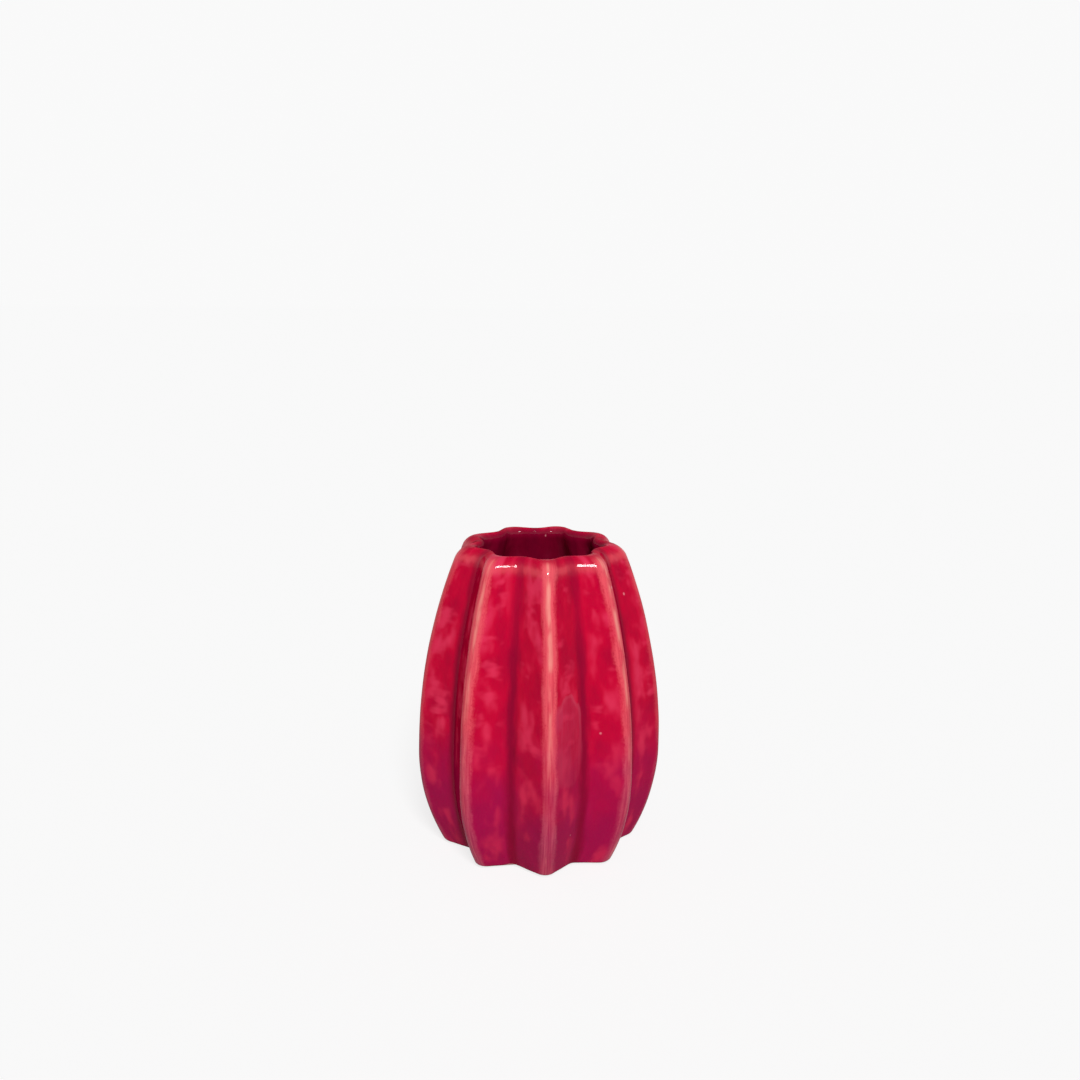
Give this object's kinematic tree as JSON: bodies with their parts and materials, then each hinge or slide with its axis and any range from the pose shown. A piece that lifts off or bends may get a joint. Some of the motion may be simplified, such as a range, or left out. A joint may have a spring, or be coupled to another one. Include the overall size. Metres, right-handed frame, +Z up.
{
  "type": "vase",
  "caption": "Small ribbed ceramic vase with a nine-pointed star section, rounded lip, tapered neck, glossy red glaze over pale clay and a dry flat foot.",
  "frame": {"origin": "centre of the flat foot, on the vase's axis and on the plane that it stands on", "axes": "+Z up along the vase's axis; a rib crest points along -Y, which is the side that the picture shows"},
  "size_m": [0.079, 0.078, 0.101],
  "materials": {
    "bisque": "dry fired earthenware, unglazed",
    "glaze": "glossy crimson glaze that runs thin and coral over the rib crests and pools dark in the grooves"
  },
  "bodies": {
    "root": {"clay_body": "bisque", "glaze_coat": "glaze"}
  },
  "joints": []
}
